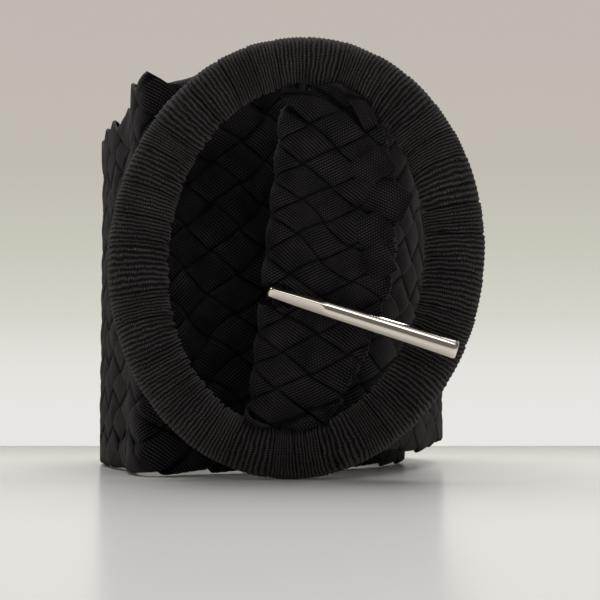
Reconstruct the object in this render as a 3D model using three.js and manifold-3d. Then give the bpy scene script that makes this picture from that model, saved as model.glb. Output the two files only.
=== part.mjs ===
// An elastic stretch belt that stands coiled on its lower edge, with its buckle facing the viewer.
// The band is plaited from flat strips. Its end is wrapped round the centre bar of an oval ring, which is
// wound with the same strip, and a prong with an eye round the bar rests with its tip on the ring.
// Units are millimetres. X runs to the viewer's right, Y away from the viewer and Z up.
import * as THREE from "three";
import { mergeVertices } from "three/addons/utils/BufferGeometryUtils.js";
import Module from "manifold-3d";

// Buckle ring
const ringWidth = 86.1;
const ringHeight = 102;
const ringBandAtSides = 13.8;
const ringBandAtTop = 11.6;
const ringDepth = 8;
const ringRoll = 6;
const windingCount = 35;
const windingGroove = 0.7;
const ringSectionSides = 10;

// Centre bar, upright in the ring and a little left of its middle
const barRadius = 1.7;
const barLeftOfCentre = 2.7;
const barSeatDepth = 2.4;
const barSides = 16;

// Plaited band
const bandWidth = 97;
const bandWall = 3;
const lozengeLength = 14.2;
const lozengeRows = 9;
const lozengeRelief = 0.8;
const selvedgeTooth = 2.6;
const tabLength = 28;
const tabSink = 2.6;
const tabMargin = 1.6;
const largestTurnPerColumn = 16;

// Coil, measured to the middle of the band's wall
const coilWidth = 102;
const coilDepth = 136;
const coilLeftOfCentre = 7.8;

// Prong
const prongReach = 41.6;
const prongHeel = 1.9;
const prongThickness = 2.7;
const prongWidthAtTip = 3.9;
const prongWidthAtHeel = 2.6;
const prongBow = 0.7;
const prongDroop = 11.4;
const prongBelowCentre = 9.9;
const eyeWall = 1.8;
const eyeClearance = 0.5;

// Clearances
const seatGap = 0.3;
const slotGap = 0.4;
const prongSwing = 110;

const radians = THREE.MathUtils.degToRad;
const roll = radians(ringRoll);
const openingHalfWidth = ringWidth / 2 - ringBandAtSides;
const openingHalfHeight = ringHeight / 2 - ringBandAtTop;
const ringCentreHeight = Math.hypot((ringHeight / 2) * Math.cos(roll), (ringWidth / 2) * Math.sin(roll));
const foldInnerRadius = barRadius + seatGap;
const foldRadius = foldInnerRadius + bandWall / 2;
const foldOuterRadius = foldInnerRadius + bandWall;
const eyeInnerRadius = barRadius + eyeClearance;
const eyeOuterRadius = eyeInnerRadius + eyeWall;
const behindRing = ringDepth / 2 + 2 * seatGap + bandWall / 2;

const wasm = await Module();
wasm.setup();

// A closed geometry as a solid for joining and cutting.
function toSolid(geometry) {
  const bare = geometry.clone();
  bare.deleteAttribute("normal");
  bare.deleteAttribute("uv");
  const merged = mergeVertices(bare, 1e-4);
  return new wasm.Manifold(
    new wasm.Mesh({
      numProp: 3,
      vertProperties: new Float32Array(merged.attributes.position.array),
      triVerts: new Uint32Array(merged.index.array),
    }),
  );
}

// A cut solid back as a geometry.
function toGeometry(solid) {
  const mesh = solid.getMesh();
  const geometry = new THREE.BufferGeometry();
  geometry.setAttribute("position", new THREE.BufferAttribute(new Float32Array(mesh.vertProperties), 3));
  geometry.setIndex(new THREE.BufferAttribute(new Uint32Array(mesh.triVerts), 1));
  geometry.computeVertexNormals();
  return geometry;
}

// Turns a geometry made in the ring's plane (x right, y behind, z above its centre) into place.
function placeOnRing(geometry) {
  return geometry.rotateY(roll).translate(0, 0, ringCentreHeight);
}

// Half the height of the ring's opening at a distance right of its centre.
function openingHalfHeightAt(right) {
  const share = Math.min(Math.abs(right) / openingHalfWidth, 0.98);
  return openingHalfHeight * Math.sqrt(1 - share * share);
}

// Joins a grid of points, closed round both ways, into a ring-shaped skin.
function closedTubeGeometry(sections) {
  const positions = sections.flat().flatMap((point) => point.toArray());
  const sides = sections[0].length;
  const index = [];
  sections.forEach((section, i) => {
    const next = (i + 1) % sections.length;
    for (let j = 0; j < sides; j++) {
      const after = (j + 1) % sides;
      const a = i * sides + j;
      const b = next * sides + j;
      const c = next * sides + after;
      const d = i * sides + after;
      index.push(a, c, b, a, d, c);
    }
  });
  const geometry = new THREE.BufferGeometry();
  geometry.setAttribute("position", new THREE.Float32BufferAttribute(positions, 3));
  geometry.setIndex(index);
  return geometry;
}

// One winding of the cover: three sections, in a groove and on both shoulders of the wound strip.
const windingShape = [
  { share: 0, groove: 1 },
  { share: 0.3, groove: 0 },
  { share: 0.7, groove: 0.1 },
];

function buckleRing() {
  const sections = [];
  for (let turn = 0; turn < windingCount; turn++) {
    for (const { share, groove } of windingShape) {
      const angle = (2 * Math.PI * (turn + share)) / windingCount;
      const side = Math.cos(angle);
      const top = Math.sin(angle);
      const halfBand = (ringBandAtSides * side * side + ringBandAtTop * top * top) / 2;
      const middleRight = (ringWidth / 2 - halfBand) * side;
      const middleAbove = (ringHeight / 2 - halfBand) * top;
      const outward = new THREE.Vector2(side / ringWidth, top / ringHeight).normalize();
      const section = [];
      for (let j = 0; j < ringSectionSides; j++) {
        const around = (2 * Math.PI * j) / ringSectionSides;
        const out = (halfBand - groove * windingGroove) * Math.cos(around);
        const behind = (ringDepth / 2 - groove * windingGroove) * Math.sin(around);
        section.push(new THREE.Vector3(middleRight + out * outward.x, behind, middleAbove + out * outward.y));
      }
      sections.push(section);
    }
  }
  const cover = toSolid(placeOnRing(closedTubeGeometry(sections)));
  const seatRadius = barRadius + seatGap;
  const seatLength = 2 * (openingHalfHeightAt(barLeftOfCentre) + barSeatDepth + seatGap);
  const seat = new THREE.CylinderGeometry(seatRadius, seatRadius, seatLength, barSides);
  seat.rotateX(Math.PI / 2).translate(-barLeftOfCentre, 0, 0);
  return toGeometry(cover.subtract(toSolid(placeOnRing(seat))));
}

function centreBar() {
  const length = 2 * (openingHalfHeightAt(barLeftOfCentre) + barSeatDepth);
  const rod = new THREE.CylinderGeometry(barRadius, barRadius, length, barSides);
  rod.rotateX(Math.PI / 2).translate(-barLeftOfCentre, 0, 0);
  return placeOnRing(rod);
}

// The band's route, seen from above. The first rows belong to the tab and the fold and follow the ring.
// right and back place the middle of the wall, rise is how far the edges have spread from their
// squeezed width at the bar (0) to the band's full width (1), lean is the share of the ring's roll, and
// lift is how far the lower edge stands off the table.
function tabAndFoldRows() {
  const tabEnd = tabLength - foldOuterRadius - barLeftOfCentre;
  const onRing = { rise: 0, lean: 1, lift: 0, inside: 1 };
  const rows = [
    { name: "tab_end", right: tabEnd, back: -foldRadius + tabSink, ...onRing },
    { name: "tab_middle", right: tabEnd * 0.45, back: -foldRadius + tabSink * 0.2, ...onRing },
  ];
  for (const angle of [-90, -135, -180, -225, -270]) {
    rows.push({
      name: "fold",
      right: -barLeftOfCentre + foldRadius * Math.cos(radians(angle)),
      back: foldRadius * Math.sin(radians(angle)),
      ...onRing,
    });
  }
  const pastFold = { rise: 0.06, lean: 1, lift: 0, inside: 0 };
  rows.push({ name: "behind_ring", right: openingHalfWidth * 0.3, back: behindRing, ...pastFold });
  return rows;
}

// The coiled run: right is a share of half the coil's width from its middle, back a share of its depth.
const coilTable = [
  { name: "right_front", right: 0.58, back: 0.125, rise: 0.5, lean: 0.7, lift: 0 },
  { name: "right_run", right: 0.8, back: 0.335, rise: 0.8, lean: 0.35, lift: 2 },
  { name: "right_side", right: 0.93, back: 0.55, rise: 0.95, lean: 0.1, lift: 5.5 },
  { name: "right_edge", right: 0.96, back: 0.72, rise: 1, lean: 0, lift: 6 },
  { name: "back_right", right: 0.7, back: 0.93, rise: 1, lean: 0, lift: 3 },
  { name: "back_middle", right: 0.03, back: 1, rise: 1, lean: 0, lift: 0 },
  { name: "back_left", right: -0.67, back: 0.91, rise: 1, lean: 0, lift: 0 },
  { name: "left_edge", right: -0.935, back: 0.65, rise: 1, lean: 0, lift: 0 },
  { name: "left_side", right: -0.8, back: 0.38, rise: 1, lean: 0, lift: 0 },
  { name: "left_front", right: -0.68, back: 0.27, rise: 1, lean: 0, lift: 0 },
  { name: "turn_before", right: -0.61, back: 0.14, rise: 1, lean: 0, lift: 0 },
  { name: "turn_front", right: -0.53, back: 0.09, rise: 1, lean: 0, lift: 0 },
  { name: "turn_after", right: -0.43, back: 0.1, rise: 1, lean: 0, lift: 0 },
  { name: "inner_left", right: -0.31, back: 0.14, rise: 1, lean: 0, lift: 0 },
  { name: "inner_wall", right: -0.045, back: 0.19, rise: 1, lean: 0, lift: 0 },
  { name: "inner_wall_right", right: 0.27, back: 0.285, rise: 1, lean: 0, lift: 0 },
  { name: "inner_right", right: 0.6, back: 0.43, rise: 1, lean: 0, lift: 0 },
  { name: "inner_right_edge", right: 0.73, back: 0.625, rise: 1, lean: 0, lift: 0 },
  { name: "inner_back_right", right: 0.5, back: 0.81, rise: 1, lean: 0, lift: 0 },
  { name: "inner_back", right: 0, back: 0.89, rise: 1, lean: 0, lift: 0 },
  { name: "inner_back_left", right: -0.51, back: 0.815, rise: 1, lean: 0, lift: 0 },
  { name: "inner_left_edge", right: -0.7, back: 0.645, rise: 1, lean: 0, lift: 0 },
  { name: "tail_end", right: -0.66, back: 0.485, rise: 1, lean: 0, lift: 0 },
];

const bandRows = [
  ...tabAndFoldRows(),
  ...coilTable.map((row) => ({
    ...row,
    right: -coilLeftOfCentre + (row.right * coilWidth) / 2,
    back: row.back * coilDepth,
    inside: 0,
  })),
];
const bandRoute = new THREE.CatmullRomCurve3(
  bandRows.map((row) => new THREE.Vector3(row.right, row.back, 0)), false, "centripetal");
bandRoute.arcLengthDivisions = 2000;
const bandLength = bandRoute.getLength();

// The wall's middle, direction, lower and upper edge and lean at a distance along the band.
function bandStation(distance) {
  const t = bandRoute.getUtoTmapping(Math.min(distance / bandLength, 1));
  const place = bandRoute.getPoint(t);
  const along = bandRoute.getTangent(t);
  const row = Math.min(Math.floor(t * (bandRows.length - 1)), bandRows.length - 2);
  const share = THREE.MathUtils.smoothstep(t * (bandRows.length - 1) - row, 0, 1);
  const mix = (key) => THREE.MathUtils.lerp(bandRows[row][key], bandRows[row + 1][key], share);
  const pastTab = Math.min(distance / tabLength, 1);
  const openHalf = openingHalfHeightAt(Math.abs(place.x) + bandWall / 2) - tabMargin * (1 - pastTab);
  const foldHalf = openingHalfHeightAt(barLeftOfCentre + foldOuterRadius);
  const squeezedHalf = THREE.MathUtils.lerp(foldHalf, openHalf, mix("inside")) - 2 * seatGap;
  const rise = mix("rise");
  const lean = roll * mix("lean");
  const upright = Math.cos(lean);
  return {
    place,
    side: new THREE.Vector3(along.y, -along.x, 0).normalize(),
    low: THREE.MathUtils.lerp(ringCentreHeight - squeezedHalf * upright, 0, rise) + mix("lift"),
    high: THREE.MathUtils.lerp(ringCentreHeight + squeezedHalf * upright, bandWidth, rise),
    lean,
    rise,
  };
}

// How high the plait stands at a place counted in half lozenges: 1 on a lozenge, 0 where four meet.
function lozengeHeight(column, row) {
  const wave = (value) => Math.abs(value - 2 * Math.round(value / 2));
  const even = 1 - wave(column) - wave(row);
  const odd = 1 - wave(column + 1) - wave(row + 1);
  return Math.max(even, odd, 0);
}

// Columns stand half a lozenge apart, and closer together where the band turns sharply.
function bandColumns() {
  const halfLozenge = lozengeLength / 2;
  const count = Math.round(bandLength / halfLozenge);
  const spacing = bandLength / count;
  const columns = [];
  for (let i = 0; i < count; i++) {
    let turned = 0;
    for (let part = 0; part < 4; part++) {
      const before = bandStation(spacing * (i + part / 4)).side;
      const after = bandStation(spacing * (i + (part + 1) / 4)).side;
      turned += THREE.MathUtils.radToDeg(before.angleTo(after));
    }
    const parts = Math.max(1, Math.ceil(turned / largestTurnPerColumn));
    for (let part = 0; part < parts; part++) columns.push(i + part / parts);
  }
  columns.push(count);
  return columns.map((column) => ({ column, distance: column * spacing }));
}

function beltBand() {
  const rows = 2 * lozengeRows;
  const columns = bandColumns();
  const positions = [];
  for (const face of [1, -1]) {
    for (const { column, distance } of columns) {
      const station = bandStation(distance);
      const toothWave = 1 - Math.abs(column - 2 * Math.round(column / 2));
      const high = station.high - selvedgeTooth * station.rise * (1 - toothWave);
      for (let row = 0; row <= rows; row++) {
        const height = THREE.MathUtils.lerp(station.low, high, row / rows);
        const half = bandWall / 2 - lozengeRelief * (1 - lozengeHeight(column, row));
        const shift = Math.tan(station.lean) * (height - ringCentreHeight);
        positions.push(
          station.place.x + face * half * station.side.x + shift,
          station.place.y + face * half * station.side.y,
          height,
        );
      }
    }
  }
  const stride = rows + 1;
  const back = columns.length * stride;
  const index = [];
  const quad = (a, b, c, d, turnDiagonal) => {
    if (turnDiagonal) index.push(a, b, d, b, c, d);
    else index.push(a, b, c, a, c, d);
  };
  for (let i = 0; i + 1 < columns.length; i++) {
    const cell = Math.floor(columns[i].column);
    for (let j = 0; j < rows; j++) {
      const a = i * stride + j;
      const b = a + stride;
      const evenCell = (cell + j) % 2 === 0;
      quad(a, b, b + 1, a + 1, evenCell);
      quad(back + a, back + a + 1, back + b + 1, back + b, evenCell);
    }
    const low = i * stride;
    const top = low + rows;
    quad(back + low, back + low + stride, low + stride, low, false);
    quad(top, top + stride, back + top + stride, back + top, false);
  }
  for (let j = 0; j < rows; j++) {
    const last = (columns.length - 1) * stride + j;
    quad(j, j + 1, back + j + 1, back + j, false);
    quad(last + 1, last, back + last, back + last + 1, false);
  }
  const geometry = new THREE.BufferGeometry();
  geometry.setAttribute("position", new THREE.Float32BufferAttribute(positions, 3));
  geometry.setIndex(index);
  return toGeometry(toSolid(geometry).subtract(prongSlot()));
}

// The slot through the fold: room for the prong's eye all round the bar, and for its neck as it swings.
function prongSlot() {
  const height = prongWidthAtHeel + 2 * slotGap + 2 * eyeOuterRadius * Math.tan(radians(prongDroop));
  const besideNeck = radians(38);
  const front = radians(-90);
  const eyeRoom = new THREE.Shape().absarc(0, 0, eyeOuterRadius + seatGap, 0, 2 * Math.PI, false);
  const neckRoom = new THREE.Shape();
  const swungNeck = front - radians(prongSwing) - 3 * besideNeck;
  neckRoom.absarc(0, 0, foldOuterRadius + 1, front + besideNeck, swungNeck, true);
  neckRoom.lineTo(0, 0);
  const [eyeCut, neckCut] = [eyeRoom, neckRoom].map((outline) => {
    const cutter = new THREE.ExtrudeGeometry(outline, {
      depth: height,
      bevelEnabled: false,
      curveSegments: 12,
    });
    cutter.translate(-barLeftOfCentre, 0, -prongBelowCentre - height / 2);
    return toSolid(placeOnRing(cutter));
  });
  return eyeCut.add(neckCut);
}

// The prong's side outline: x along the prong from the bar's axis, y behind the axis.
function prong() {
  const heelBack = -(foldOuterRadius + seatGap);
  const tipBack = -(ringDepth / 2 + seatGap);
  const heelFront = heelBack - prongThickness;
  const tipFront = tipBack - prongThickness;
  const middle = prongReach / 2;
  const round = prongThickness / 3;
  const neckRight = prongHeel;
  const outline = new THREE.Shape();
  outline.moveTo(neckRight, heelBack);
  outline.quadraticCurveTo(middle, (heelBack + tipBack) / 2 - prongBow, prongReach - round, tipBack);
  outline.quadraticCurveTo(prongReach, tipBack, prongReach, tipBack - round);
  outline.lineTo(prongReach, tipFront + round);
  outline.quadraticCurveTo(prongReach, tipFront, prongReach - round, tipFront);
  outline.quadraticCurveTo(middle, (heelFront + tipFront) / 2 - prongBow, 0, heelFront);
  outline.quadraticCurveTo(-prongHeel, heelFront, -prongHeel, heelFront + prongHeel);
  const leftNeck = Math.atan2(-Math.sqrt(eyeOuterRadius ** 2 - prongHeel * prongHeel), -prongHeel);
  const rightNeck = Math.atan2(-Math.sqrt(eyeOuterRadius ** 2 - neckRight * neckRight), neckRight);
  outline.absarc(0, 0, eyeOuterRadius, leftNeck, rightNeck, true);
  outline.closePath();
  const hole = new THREE.Path();
  hole.absarc(0, 0, eyeInnerRadius, 0, 2 * Math.PI, false);
  outline.holes.push(hole);
  const solid = new THREE.ExtrudeGeometry(outline, { depth: 1, bevelEnabled: false, curveSegments: 10 });
  solid.translate(0, 0, -0.5);
  const points = solid.attributes.position;
  for (let i = 0; i < points.count; i++) {
    const share = THREE.MathUtils.clamp(points.getX(i) / prongReach, 0, 1);
    const width = THREE.MathUtils.lerp(prongWidthAtHeel, prongWidthAtTip, Math.sqrt(share));
    points.setZ(i, points.getZ(i) * width);
  }
  solid.rotateY(radians(prongDroop)).translate(-barLeftOfCentre, 0, -prongBelowCentre);
  return placeOnRing(solid);
}

const blackElastic = new THREE.MeshStandardMaterial({ color: 0x26242a, roughness: 0.9, metalness: 0 });
const woundElastic = new THREE.MeshStandardMaterial({ color: 0x2c2829, roughness: 0.95, metalness: 0 });
const darkSteel = new THREE.MeshStandardMaterial({ color: 0x5a5a5c, roughness: 0.5, metalness: 1 });
const polishedNickel = new THREE.MeshStandardMaterial({ color: 0xd9cfc0, roughness: 0.15, metalness: 1 });

function namedMesh(name, geometry, material) {
  const mesh = new THREE.Mesh(geometry, material);
  mesh.name = name;
  return mesh;
}

const belt = new THREE.Group();
belt.add(
  namedMesh("belt_band", beltBand(), blackElastic),
  namedMesh("buckle_ring", buckleRing(), woundElastic),
  namedMesh("centre_bar", centreBar(), darkSteel),
  namedMesh("prong", prong(), polishedNickel),
);

// The origin is the middle of the belt's footprint, on the surface that it stands on.
const reach = new THREE.Box3().setFromObject(belt);
const middle = reach.getCenter(new THREE.Vector3());
belt.position.set(-middle.x, -middle.y, -reach.min.z);

export default belt;
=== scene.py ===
# %% [markdown]
# # A plaited stretch belt with a wound buckle
# The belt stands coiled on its edge. Its hard parts and its plain walls are already fixed by the model that
# this script loads, so nothing is moved here. What the script adds is everything that the eye sees: eighteen
# flat elastic strips plaited over and under each other, the buckle's cover wound from the same strip, and
# the polished prong.

# %% Load the fixed frame
import math

import bmesh
import bpy
import numpy as np
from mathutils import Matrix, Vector


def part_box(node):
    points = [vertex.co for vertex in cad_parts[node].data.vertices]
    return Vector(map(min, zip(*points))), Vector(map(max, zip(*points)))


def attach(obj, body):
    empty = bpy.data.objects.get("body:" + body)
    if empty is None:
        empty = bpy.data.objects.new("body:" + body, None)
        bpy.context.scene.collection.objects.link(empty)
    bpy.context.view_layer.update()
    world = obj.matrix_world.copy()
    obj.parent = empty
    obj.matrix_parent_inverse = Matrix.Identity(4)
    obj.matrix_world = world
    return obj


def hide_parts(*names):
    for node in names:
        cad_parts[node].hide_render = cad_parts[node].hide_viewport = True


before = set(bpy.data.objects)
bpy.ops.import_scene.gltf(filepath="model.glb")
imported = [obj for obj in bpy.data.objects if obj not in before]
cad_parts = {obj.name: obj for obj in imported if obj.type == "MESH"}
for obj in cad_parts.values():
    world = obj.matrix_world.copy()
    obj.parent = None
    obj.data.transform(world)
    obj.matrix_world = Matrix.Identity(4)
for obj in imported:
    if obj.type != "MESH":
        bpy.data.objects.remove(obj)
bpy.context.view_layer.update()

# %% [markdown]
# Every place in this scene follows from the buckle ring. Its box in the fixed model gives its middle. The
# real sizes of the ring, the bar and the band are written once here, in metres, and all pieces share them.

# %% Sizes that the pieces share
MM = 0.001
ring_low, ring_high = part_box("buckle_ring")
ring_middle = (ring_low + ring_high) / 2
RING_ROLL = math.radians(6)
RING_WIDTH = 86.1 * MM
RING_HEIGHT = 102 * MM
RING_BAND_AT_SIDES = 13.8 * MM
RING_BAND_AT_TOP = 11.6 * MM
RING_DEPTH = 8 * MM
BAR_LEFT_OF_MIDDLE = 2.7 * MM
BAR_RADIUS = 1.7 * MM
SEAT_GAP = 0.3 * MM
BAND_WIDTH = 97 * MM
BAND_WALL = 3 * MM
TAB_LENGTH = 28 * MM
COIL_WIDTH = 102 * MM
COIL_DEPTH = 136 * MM
COIL_LEFT_OF_MIDDLE = 7.8 * MM
FOLD_RADIUS = BAR_RADIUS + SEAT_GAP + BAND_WALL / 2
FOLD_OUTER_RADIUS = BAR_RADIUS + SEAT_GAP + BAND_WALL
OPENING_HALF_WIDTH = RING_WIDTH / 2 - RING_BAND_AT_SIDES
OPENING_HALF_HEIGHT = RING_HEIGHT / 2 - RING_BAND_AT_TOP
print("the ring's middle is at", tuple(round(value, 4) for value in ring_middle))


def from_ring_plane(right, behind, above):
    """Points given right of, behind and above the ring's middle in its own rolled plane, as places."""
    x = ring_middle.x + right * math.cos(RING_ROLL) + above * math.sin(RING_ROLL)
    z = ring_middle.z - right * math.sin(RING_ROLL) + above * math.cos(RING_ROLL)
    return np.stack(np.broadcast_arrays(x, ring_middle.y + behind, z), axis=-1)


# %% [markdown]
# The camera stands in front of the buckle, low over the table, and looks slightly up, as the photographer
# did. It is close, about three ring heights away, so that the ring stays large against the coil behind it.

# %% Camera
CAMERA_DISTANCE = 297 * MM
CAMERA_HEIGHT = 16.6 * MM
CAMERA_RIGHT_OF_MIDDLE = 0.85 * MM
CAMERA_TILT = math.radians(4.63)
FOCAL_LENGTH = 78.2


def new_object(name, data):
    """A new object in the scene that carries a camera, a lamp or a mesh."""
    made = bpy.data.objects.new(name, data)
    bpy.context.scene.collection.objects.link(made)
    return made


camera_data = bpy.data.cameras.new("camera")
camera_data.lens = FOCAL_LENGTH
camera_data.sensor_width = 36
camera_data.clip_start = 0.01
camera = new_object("camera", camera_data)
camera.location = (ring_middle.x + CAMERA_RIGHT_OF_MIDDLE, ring_middle.y - CAMERA_DISTANCE, CAMERA_HEIGHT)
camera.rotation_euler = (math.pi / 2 + CAMERA_TILT, 0, 0)
bpy.context.scene.camera = camera
print("the camera stands", round(CAMERA_DISTANCE / MM), "mm in front of the ring")

# %% [markdown]
# Every finish below is a small tree of nodes that ends in the Principled shader. These helpers add a node
# in one line each, so that a material reads like a list of its steps: read a place, do a sum, spread a
# range, pick a colour.

# %% Helpers for node materials
def new_material(name):
    """A new material, its node tree and its Principled shader."""
    material = bpy.data.materials.new(name)
    material.use_nodes = True
    tree = material.node_tree
    shader = tree.nodes["Principled BSDF"]
    return material, tree, shader


def add_node(tree, kind, inputs=(), **settings):
    """A new node with its settings, and each input given a value or linked to a socket."""
    node = tree.nodes.new(kind)
    for key, value in settings.items():
        setattr(node, key, value)
    for key, value in dict(inputs).items():
        if isinstance(value, bpy.types.NodeSocket):
            tree.links.new(value, node.inputs[key])
        else:
            node.inputs[key].default_value = value
    return node


def add_math(tree, operation, *inputs):
    """The result of one sum on numbers or sockets."""
    return add_node(tree, "ShaderNodeMath", enumerate(inputs), operation=operation).outputs[0]


def add_range(tree, value, low, high, to_low=0.0, to_high=1.0):
    """A value carried over from one range to another and held at its ends."""
    inputs = {"Value": value, "From Min": low, "From Max": high, "To Min": to_low, "To Max": to_high}
    return add_node(tree, "ShaderNodeMapRange", inputs).outputs["Result"]


def add_ramp(tree, factor, stops):
    """A colour ramp through stops of (place, colour)."""
    ramp = add_node(tree, "ShaderNodeValToRGB", {"Fac": factor})
    elements = ramp.color_ramp.elements
    while len(elements) < len(stops):
        elements.new(0.5)
    for element, (place, colour) in zip(elements, stops):
        element.position = place
        element.color = (*colour, 1)
    return ramp.outputs["Color"]


def object_place(tree):
    """Where a shaded point is in its object's own coordinates."""
    return add_node(tree, "ShaderNodeTexCoord").outputs["Object"]


def split_up(tree, vector):
    """The X, Y and Z of a place or a UV map, as sockets."""
    return add_node(tree, "ShaderNodeSeparateXYZ", {"Vector": vector}).outputs


def read_uv(tree, name):
    """A UV map's numbers, as sockets."""
    return split_up(tree, add_node(tree, "ShaderNodeUVMap", uv_map=name).outputs["UV"])


def add_noise(tree, scale, detail):
    """Soft noise in the object's own coordinates, as sockets for a factor and a colour."""
    inputs = {"Vector": object_place(tree), "Scale": scale, "Detail": detail}
    return add_node(tree, "ShaderNodeTexNoise", inputs).outputs


# %% [markdown]
# The table is a glossy pale top with a far edge, and behind it hangs a plain glowing backdrop. Both are only
# staging, so a plane each is enough. Their colours follow a ramp through their own coordinates: along its
# depth the table's colour darkens towards its far edge as painted shade, and up its height the backdrop's
# glow is painted light, brightest just above the table and darker and warmer further up.

# %% Table and backdrop
TABLE_BACK = 244 * MM
TABLE_FRONT = -0.9
TABLE_WIDTH = 3.2
TABLE_SHADE_DEPTH = 0.36
table_depth = ring_middle.y + TABLE_BACK - TABLE_FRONT


def object_from_bmesh(name, bm):
    """A smooth-shaded object made from a bmesh, which is freed."""
    for face in bm.faces:
        face.smooth = True
    mesh = bpy.data.meshes.new(name)
    bm.to_mesh(mesh)
    bm.free()
    return new_object(name, mesh)


def flat_stage(name, width, depth, place, turn=0.0):
    """A plain rectangle of the staging, which is no part of the belt."""
    bm = bmesh.new()
    bmesh.ops.create_grid(bm, x_segments=1, y_segments=1, size=0.5)
    for vert in bm.verts:
        vert.co.x *= width
        vert.co.y *= depth
    stage = object_from_bmesh(name, bm)
    stage.location = place
    stage.rotation_euler = (turn, 0, 0)
    return stage


table = flat_stage("table", TABLE_WIDTH, table_depth, (0, TABLE_FRONT + table_depth / 2, 0))
table_material, tree, shader = new_material("pale_table")
depth_place = split_up(tree, object_place(tree))["Y"]
depth_share = add_range(tree, depth_place, table_depth / 2 - TABLE_SHADE_DEPTH, table_depth / 2)
# Painted shade: the table's pale colour darkens towards its far edge.
table_colour_with_painted_shade = add_ramp(tree, depth_share, [
    (0.0, (0.94, 0.93, 0.91)), (0.45, (0.88, 0.87, 0.84)), (1.0, (0.33, 0.32, 0.30)),
])
tree.links.new(table_colour_with_painted_shade, shader.inputs["Base Color"])
shader.inputs["Roughness"].default_value = 0.22
shader.inputs["IOR"].default_value = 1.24
table.data.materials.append(table_material)

backdrop = flat_stage("backdrop", 5, 3, (0, 1.2, 0.6), math.pi / 2)
backdrop_material, tree, shader = new_material("warm_backdrop")
height_place = split_up(tree, object_place(tree))["Y"]
# Painted light: the backdrop glows brightest just above the table and fades, darker and warmer, further up.
glow = add_ramp(tree, add_range(tree, height_place, -0.60, -0.10), [
    (0.0, (0.81, 0.795, 0.765)), (0.13, (0.78, 0.765, 0.725)), (0.25, (0.675, 0.655, 0.59)),
    (0.42, (0.585, 0.565, 0.495)), (0.62, (0.535, 0.50, 0.445)), (1.0, (0.53, 0.485, 0.445)),
])
tree.links.new(glow, shader.inputs["Emission Color"])
shader.inputs["Base Color"].default_value = (0, 0, 0, 1)
shader.inputs["Specular IOR Level"].default_value = 0
shader.inputs["Emission Strength"].default_value = 1
shader.inputs["Roughness"].default_value = 1
backdrop.data.materials.append(backdrop_material)
print("the table reaches", round(TABLE_BACK / MM), "mm behind the ring")

# %% [markdown]
# Soft studio light comes from large area lamps: a strong one above and a little behind, a weak one at the
# back left, and one high in front that keeps the black cloth readable. A dim card over the camera
# shows only in shiny things, and gives the prong's upper bevel its grey. A pale world fills the rest.

# %% Lights
def area_light(name, place, aim, size, power):
    """A rectangular lamp of a size in metres and a power in watts, turned to face a point."""
    data = bpy.data.lights.new(name, "AREA")
    data.shape = "RECTANGLE"
    data.size, data.size_y = size
    data.energy = power
    light = new_object(name, data)
    light.location = place
    light.rotation_euler = (Vector(aim) - Vector(place)).to_track_quat("-Z", "Y").to_euler()
    return light


area_light("top_soft_box", (0.0, 0.42, 0.85), (0, 0.05, 0.05), (1.1, 0.8), 9.6)
area_light("left_back_soft_box", (-0.8, 0.35, 0.5), (0, 0, 0.05), (0.6, 0.7), 0.8)
area_light("front_fill", (0.3, -0.75, 0.8), (0, 0, 0.05), (0.5, 0.4), 1.6)
ceiling_card = area_light("ceiling_card", (0.0, -0.3, 0.9), (0, -0.06, 0.05), (1.4, 0.8), 0.9)
ceiling_card.visible_diffuse = False
world = bpy.data.worlds.new("studio")
world.use_nodes = True
world.node_tree.nodes["Background"].inputs["Color"].default_value = (0.94, 0.9, 0.84, 1)
world.node_tree.nodes["Background"].inputs["Strength"].default_value = 0.16
bpy.context.scene.world = world
bpy.context.scene.view_settings.view_transform = "Standard"
print("the studio has", len(bpy.data.lights), "lamps")

# %% [markdown]
# The band follows a route seen from above: a tab on the viewer's side, a fold round the bar, then the coil.
# The same few rows that shape the solid wall are repeated here. Each has its place, how far the band has
# spread from its squeezed width at the bar, how much of the ring's roll it shares, how far its lower edge
# stands off the table, and whether it lies in the ring. A centripetal Catmull-Rom curve runs through them,
# because it keeps tight bends free of loops.

# %% The band's route
TAB_SINK = 2.6 * MM
STEPS = 120


def tab_and_fold_rows():
    """Rows of the tab, the fold round the bar and the first place behind the ring."""
    tab_end = TAB_LENGTH - FOLD_OUTER_RADIUS - BAR_LEFT_OF_MIDDLE
    rows = [(tab_end, -FOLD_RADIUS + TAB_SINK, 0, 1, 0, 1),
            (tab_end * 0.45, -FOLD_RADIUS + TAB_SINK * 0.2, 0, 1, 0, 1)]
    for angle in (-90, -135, -180, -225, -270):
        turn = math.radians(angle)
        right = -BAR_LEFT_OF_MIDDLE + FOLD_RADIUS * math.cos(turn)
        rows.append((right, FOLD_RADIUS * math.sin(turn), 0, 1, 0, 1))
    behind_ring = RING_DEPTH / 2 + 2 * SEAT_GAP + BAND_WALL / 2
    rows.append((OPENING_HALF_WIDTH * 0.3, behind_ring, 0.06, 1, 0, 0))
    return rows


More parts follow.
